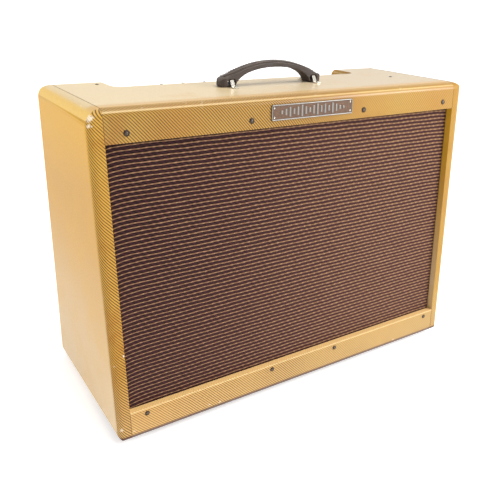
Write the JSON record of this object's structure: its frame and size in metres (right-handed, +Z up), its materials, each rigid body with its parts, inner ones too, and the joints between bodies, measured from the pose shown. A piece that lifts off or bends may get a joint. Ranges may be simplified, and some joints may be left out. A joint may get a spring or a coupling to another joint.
{
  "type": "guitar amplifier",
  "caption": "Combo guitar amplifier: tweed-covered tapered cabinet, oxblood grille, leather handle, top rear control panel with knobs and toggles, open back, twin speakers.",
  "frame": {"origin": "on the floor, under the middle of the bounding box", "axes": "+X to the right of someone facing the grille, +Y from the grille to the back, +Z up"},
  "size_m": [0.673, 0.2864, 0.5238],
  "materials": {
    "tweed_board": "pine board covered in lacquered diagonal tweed cloth, golden amber with dark brown stripes",
    "pale_tweed_board": "pine board covered in the same tweed, faded pale beige",
    "plywood": "bare plywood",
    "pine": "bare pine",
    "grille_cloth": "woven oxblood cloth with thin gold threads",
    "leather": "weathered stitched leather",
    "nickel": "nickel plate",
    "chrome": "chrome plate",
    "steel": "cadmium-plated steel",
    "aluminium_shield": "thin aluminium",
    "bakelite": "black phenolic",
    "red_jewel": "faceted red jewel",
    "valve_glass": "clear blown glass over a black base",
    "black_steel": "black painted laminations and end bells",
    "fibre_board": "black vulcanised fibre",
    "basket": "grey painted pressed steel",
    "cone_paper": "pressed paper",
    "rubber": "black rubber"
  },
  "bodies": {
    "cabinet": {"back_panel_lower": "tweed_board", "back_panel_upper": "tweed_board", "baffle_board": "plywood", "baffle_cleat_lower": "pine", "baffle_cleat_upper": "pine", "bottom_board": "tweed_board", "chassis": "chrome", "circuit_board": "fibre_board", "cord_gland": "rubber", "filter_choke": "black_steel", "front_panel_lower": "tweed_board", "front_panel_upper": "tweed_board", "fuse_holder": "bakelite", "glide_front_left": "nickel", "glide_front_right": "nickel", "glide_rear_left": "nickel", "glide_rear_right": "nickel", "grille_cloth": "grille_cloth", "handle_link_left": "nickel", "handle_link_right": "nickel", "input_jack_1": "nickel", "input_jack_2": "nickel", "input_jack_3": "nickel", "input_jack_4": "nickel", "nameplate": "chrome", "output_transformer": "black_steel", "pilot_jewel": "red_jewel", "pilot_lamp_holder": "chrome", "potentiometer_bass": "steel", "potentiometer_presence": "steel", "potentiometer_treble": "steel", "potentiometer_volume_1": "steel", "potentiometer_volume_2": "steel", "power_transformer": "black_steel", "power_valve_1": "valve_glass", "power_valve_2": "valve_glass", "preamp_valve_1": "aluminium_shield", "preamp_valve_2": "aluminium_shield", "preamp_valve_3": "aluminium_shield", "rectifier_valve": "valve_glass", "side_board_left": "tweed_board", "side_board_right": "tweed_board", "speaker_frame_left": "basket", "speaker_frame_right": "basket", "speaker_lead": "rubber", "switch_body_ground": "steel", "switch_body_power": "steel", "switch_body_standby": "steel", "top_board": "pale_tweed_board"},
    "knob_presence": {"knob_presence": "bakelite"},
    "knob_bass": {"knob_bass": "bakelite"},
    "knob_treble": {"knob_treble": "bakelite"},
    "knob_volume_1": {"knob_volume_1": "bakelite"},
    "knob_volume_2": {"knob_volume_2": "bakelite"},
    "switch_lever_ground": {"switch_lever_ground": "nickel"},
    "switch_lever_power": {"switch_lever_power": "nickel"},
    "switch_lever_standby": {"switch_lever_standby": "nickel"},
    "speaker_cone_left": {"speaker_cone_left": "cone_paper"},
    "speaker_cone_right": {"speaker_cone_right": "cone_paper"},
    "handle_strap": {"handle_strap": "leather"}
  },
  "joints": [
    {"name": "knob_presence_turn", "type": "hinge", "parent": "cabinet", "child": "knob_presence", "pos_m": [0.019, 0.078, 0.463], "axis": [0, 0, 1], "range_deg": [-248, 52]},
    {"name": "knob_bass_turn", "type": "hinge", "parent": "cabinet", "child": "knob_bass", "pos_m": [0.055, 0.078, 0.463], "axis": [0, 0, 1], "range_deg": [-140, 160]},
    {"name": "knob_treble_turn", "type": "hinge", "parent": "cabinet", "child": "knob_treble", "pos_m": [0.091, 0.078, 0.463], "axis": [0, 0, 1], "range_deg": [-280, 20]},
    {"name": "knob_volume_1_turn", "type": "hinge", "parent": "cabinet", "child": "knob_volume_1", "pos_m": [0.127, 0.078, 0.463], "axis": [0, 0, 1], "range_deg": [-10, 290]},
    {"name": "knob_volume_2_turn", "type": "hinge", "parent": "cabinet", "child": "knob_volume_2", "pos_m": [0.163, 0.078, 0.463], "axis": [0, 0, 1], "range_deg": [-220, 80]},
    {"name": "switch_ground_throw", "type": "hinge", "parent": "cabinet", "child": "switch_lever_ground", "pos_m": [-0.154, 0.078, 0.463], "axis": [1, 0, 0], "range_deg": [-26, 0]},
    {"name": "switch_power_throw", "type": "hinge", "parent": "cabinet", "child": "switch_lever_power", "pos_m": [-0.116, 0.078, 0.463], "axis": [1, 0, 0], "range_deg": [-26, 0]},
    {"name": "switch_standby_throw", "type": "hinge", "parent": "cabinet", "child": "switch_lever_standby", "pos_m": [-0.077, 0.078, 0.463], "axis": [1, 0, 0], "range_deg": [-26, 0]},
    {"name": "speaker_cone_left_travel", "type": "slide", "parent": "cabinet", "child": "speaker_cone_left", "axis": [0, 0.9974, -0.0722], "range_m": [-0.003, 0.003], "stiffness_N_per_m": 5000},
    {"name": "speaker_cone_right_travel", "type": "slide", "parent": "cabinet", "child": "speaker_cone_right", "axis": [0, 0.9974, -0.0722], "range_m": [-0.003, 0.003], "stiffness_N_per_m": 5000},
    {"name": "handle_lift", "type": "slide", "parent": "cabinet", "child": "handle_strap", "axis": [0, 0, 1], "range_m": [0, 0.005]}
  ]
}
